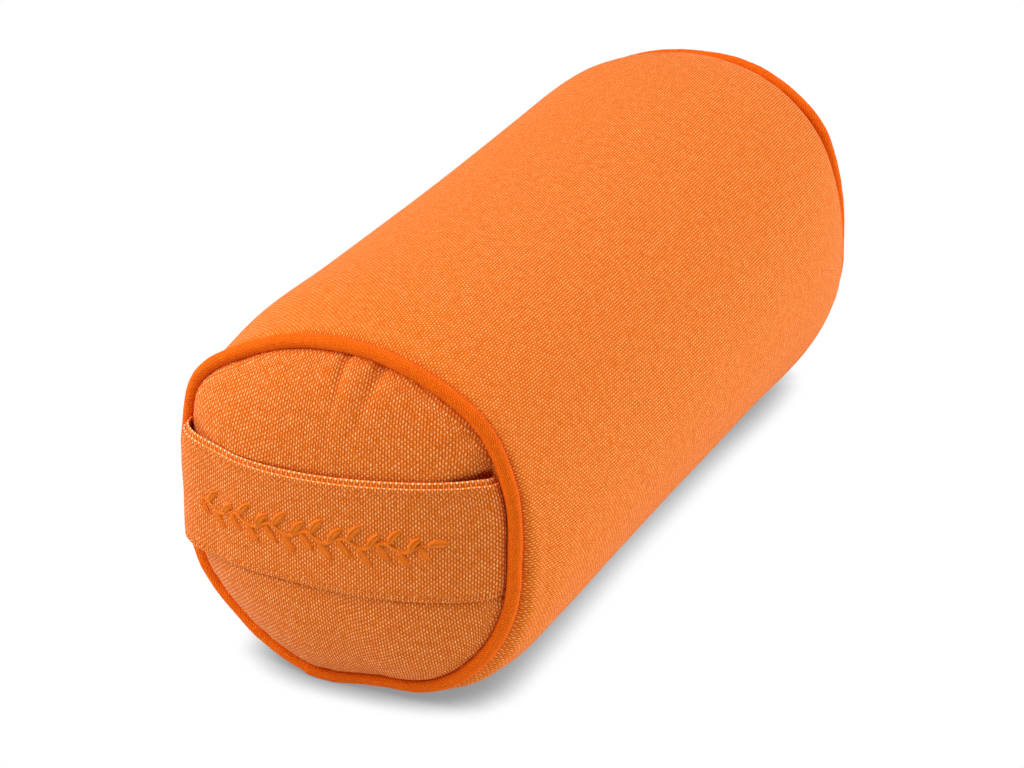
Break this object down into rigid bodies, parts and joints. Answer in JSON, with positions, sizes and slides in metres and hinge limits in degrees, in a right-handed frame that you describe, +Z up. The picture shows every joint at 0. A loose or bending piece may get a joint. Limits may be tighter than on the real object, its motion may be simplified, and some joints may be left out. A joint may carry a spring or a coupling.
{
  "type": "mini bolster cushion with end strap",
  "caption": "Small round bolster cushion in plain-weave canvas, with corded end seams, crowned end panels and a carrying strap across one end.",
  "frame": {"origin": "on the surface it rests on, under the middle of the bolster's axis", "axes": "+Y along the bolster's axis, away from the strap end; +X across it; +Z up. The strap is at the -Y end."},
  "size_m": [0.1624, 0.3572, 0.1414],
  "materials": {
    "side_canvas": "matte orange plain-weave cotton canvas with pale weft yarns",
    "panel_canvas": "matte orange plain-weave cotton canvas with pale weft yarns",
    "piping_cotton": "matte saturated orange cotton over cord",
    "strap_canvas": "matte folded canvas, edge stitched"
  },
  "bodies": {
    "root": {"bolster_body": "side_canvas", "end_panel_front": "panel_canvas", "end_panel_back": "panel_canvas", "piping_front": "piping_cotton", "piping_back": "piping_cotton", "handle_strap": "strap_canvas"}
  },
  "joints": []
}
